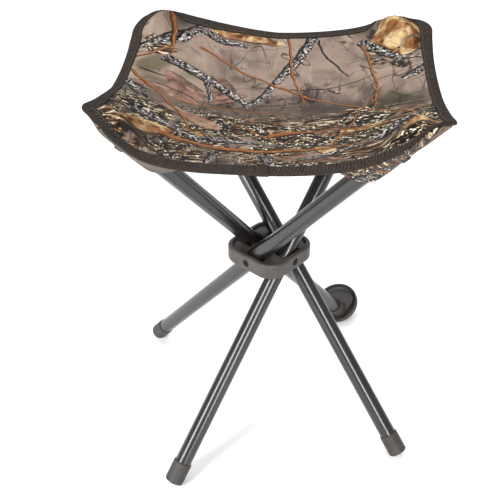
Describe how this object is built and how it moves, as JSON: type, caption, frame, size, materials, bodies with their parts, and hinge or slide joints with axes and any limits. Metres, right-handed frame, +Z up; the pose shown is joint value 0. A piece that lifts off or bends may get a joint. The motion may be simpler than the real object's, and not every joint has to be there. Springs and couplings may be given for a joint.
{
  "type": "folding field stool",
  "caption": "Folding field stool: crossed tubular legs pinned in a moulded hub, a sling seat with taped edges and corner pockets, rubber feet, one with a wide dish.",
  "frame": {"origin": "middle of the open stool's outline, on the ground", "axes": "+Z up; the four hub faces look along the diagonals of X and Y; the leg with the wide foot stands towards +X +Y"},
  "size_m": [0.3572, 0.3646, 0.4692],
  "materials": {
    "frame_paint": "semi-gloss dark bronze-grey powder coat",
    "hub_plastic": "matte dark warm grey moulding",
    "bolt_steel": "dark zinc",
    "nut_steel": "plain zinc",
    "plug_plastic": "black",
    "foot_rubber": "matte dark grey rubber",
    "rivet_black": "black",
    "camo_cloth": "woven polyester, woodland camouflage print",
    "hem_webbing": "ribbed dark brown binding tape"
  },
  "bodies": {
    "hub": {"hub": "hub_plastic", "pivot_bolt_a": "bolt_steel", "pivot_bolt_b": "bolt_steel", "pivot_bolt_c": "bolt_steel", "pivot_bolt_d": "bolt_steel", "lock_nut_a": "nut_steel", "lock_nut_b": "nut_steel", "lock_nut_c": "nut_steel", "lock_nut_d": "nut_steel"},
    "leg_a": {"tube_a": "frame_paint", "top_plug_a": "plug_plastic", "corner_pocket_a": "camo_cloth", "pocket_rivet_a": "rivet_black", "wide_foot_a": "foot_rubber"},
    "leg_b": {"tube_b": "frame_paint", "top_plug_b": "plug_plastic", "corner_pocket_b": "camo_cloth", "pocket_rivet_b": "rivet_black", "foot_cap_b": "foot_rubber"},
    "leg_c": {"tube_c": "frame_paint", "top_plug_c": "plug_plastic", "corner_pocket_c": "camo_cloth", "pocket_rivet_c": "rivet_black", "foot_cap_c": "foot_rubber"},
    "leg_d": {"tube_d": "frame_paint", "top_plug_d": "plug_plastic", "corner_pocket_d": "camo_cloth", "pocket_rivet_d": "rivet_black", "foot_cap_d": "foot_rubber"},
    "seat_left_a": {"seat_panel_left_a": "camo_cloth", "hem_tape_left_a": "hem_webbing"},
    "seat_right_a": {"seat_panel_right_a": "camo_cloth", "hem_tape_right_a": "hem_webbing"},
    "seat_left_b": {"seat_panel_left_b": "camo_cloth", "hem_tape_left_b": "hem_webbing"},
    "seat_right_b": {"seat_panel_right_b": "camo_cloth", "hem_tape_right_b": "hem_webbing"},
    "seat_left_c": {"seat_panel_left_c": "camo_cloth", "hem_tape_left_c": "hem_webbing"},
    "seat_right_c": {"seat_panel_right_c": "camo_cloth", "hem_tape_right_c": "hem_webbing"},
    "seat_left_d": {"seat_panel_left_d": "camo_cloth", "hem_tape_left_d": "hem_webbing"},
    "seat_right_d": {"seat_panel_right_d": "camo_cloth", "hem_tape_right_d": "hem_webbing"}
  },
  "joints": [
    {"name": "fold_a", "type": "hinge", "parent": "hub", "child": "leg_a", "pos_m": [-0.01648, 0.01273, 0.227], "axis": [-0.7071, 0.7071, 0], "range_deg": [0, 37.66], "deforming": ["corner_pocket_a"]},
    {"name": "fold_b", "type": "hinge", "parent": "hub", "child": "leg_b", "pos_m": [0.01648, 0.01273, 0.227], "axis": [0.7071, 0.7071, 0], "range_deg": [0, 37.96], "deforming": ["corner_pocket_b"]},
    {"name": "fold_c", "type": "hinge", "parent": "hub", "child": "leg_c", "pos_m": [0.01648, -0.02023, 0.227], "axis": [0.7071, -0.7071, 0], "range_deg": [0, 37.96], "deforming": ["corner_pocket_c"]},
    {"name": "fold_d", "type": "hinge", "parent": "hub", "child": "leg_d", "pos_m": [-0.01648, -0.02023, 0.227], "axis": [-0.7071, -0.7071, 0], "range_deg": [0, 37.96], "deforming": ["corner_pocket_d"]},
    {"name": "fold_seat_left_a", "type": "hinge", "parent": "leg_a", "child": "seat_left_a", "pos_m": [-0.13856, -0.12634, 0.459], "axis": [0.4621, 0.6882, -0.5593], "range_deg": [0, 107.22], "deforming": ["seat_panel_left_a", "hem_tape_left_a"]},
    {"name": "fold_seat_right_a", "type": "hinge", "parent": "leg_a", "child": "seat_right_a", "pos_m": [-0.13856, -0.12634, 0.459], "axis": [-0.0968, 0.9128, -0.3968], "range_deg": [0, 43.11], "deforming": ["seat_panel_right_a", "hem_tape_right_a"]},
    {"name": "fold_seat_left_b", "type": "hinge", "parent": "leg_b", "child": "seat_left_b", "pos_m": [-0.12258, 0.13481, 0.459], "axis": [0.6882, -0.4621, -0.5593], "range_deg": [0, 107.22], "deforming": ["seat_panel_left_b", "hem_tape_left_b"]},
    {"name": "fold_seat_right_b", "type": "hinge", "parent": "leg_b", "child": "seat_right_b", "pos_m": [-0.12258, 0.13481, 0.459], "axis": [0.9128, 0.0968, -0.3968], "range_deg": [0, 43.11], "deforming": ["seat_panel_right_b", "hem_tape_right_b"]},
    {"name": "fold_seat_left_c", "type": "hinge", "parent": "leg_c", "child": "seat_left_c", "pos_m": [0.13856, 0.11883, 0.459], "axis": [-0.4621, -0.6882, -0.5593], "range_deg": [0, 107.22], "deforming": ["seat_panel_left_c", "hem_tape_left_c"]},
    {"name": "fold_seat_right_c", "type": "hinge", "parent": "leg_c", "child": "seat_right_c", "pos_m": [0.13856, 0.11883, 0.459], "axis": [0.0968, -0.9128, -0.3968], "range_deg": [0, 43.11], "deforming": ["seat_panel_right_c", "hem_tape_right_c"]},
    {"name": "fold_seat_left_d", "type": "hinge", "parent": "leg_d", "child": "seat_left_d", "pos_m": [0.12258, -0.14231, 0.459], "axis": [-0.6882, 0.4621, -0.5593], "range_deg": [0, 107.22], "deforming": ["seat_panel_left_d", "hem_tape_left_d"]},
    {"name": "fold_seat_right_d", "type": "hinge", "parent": "leg_d", "child": "seat_right_d", "pos_m": [0.12258, -0.14231, 0.459], "axis": [-0.9128, -0.0968, -0.3968], "range_deg": [0, 43.11], "deforming": ["seat_panel_right_d", "hem_tape_right_d"]}
  ],
  "couplings": [
    {"joint": "fold_b", "follows": "fold_a", "ratio": 1},
    {"joint": "fold_c", "follows": "fold_a", "ratio": 1},
    {"joint": "fold_d", "follows": "fold_a", "ratio": 1},
    {"joint": "fold_seat_left_a", "follows": "fold_a", "ratio": 2.8391},
    {"joint": "fold_seat_right_a", "follows": "fold_a", "ratio": 1.1368},
    {"joint": "fold_seat_left_b", "follows": "fold_a", "ratio": 2.8391},
    {"joint": "fold_seat_right_b", "follows": "fold_a", "ratio": 1.1368},
    {"joint": "fold_seat_left_c", "follows": "fold_a", "ratio": 2.8391},
    {"joint": "fold_seat_right_c", "follows": "fold_a", "ratio": 1.1368},
    {"joint": "fold_seat_left_d", "follows": "fold_a", "ratio": 2.8391},
    {"joint": "fold_seat_right_d", "follows": "fold_a", "ratio": 1.1368}
  ]
}
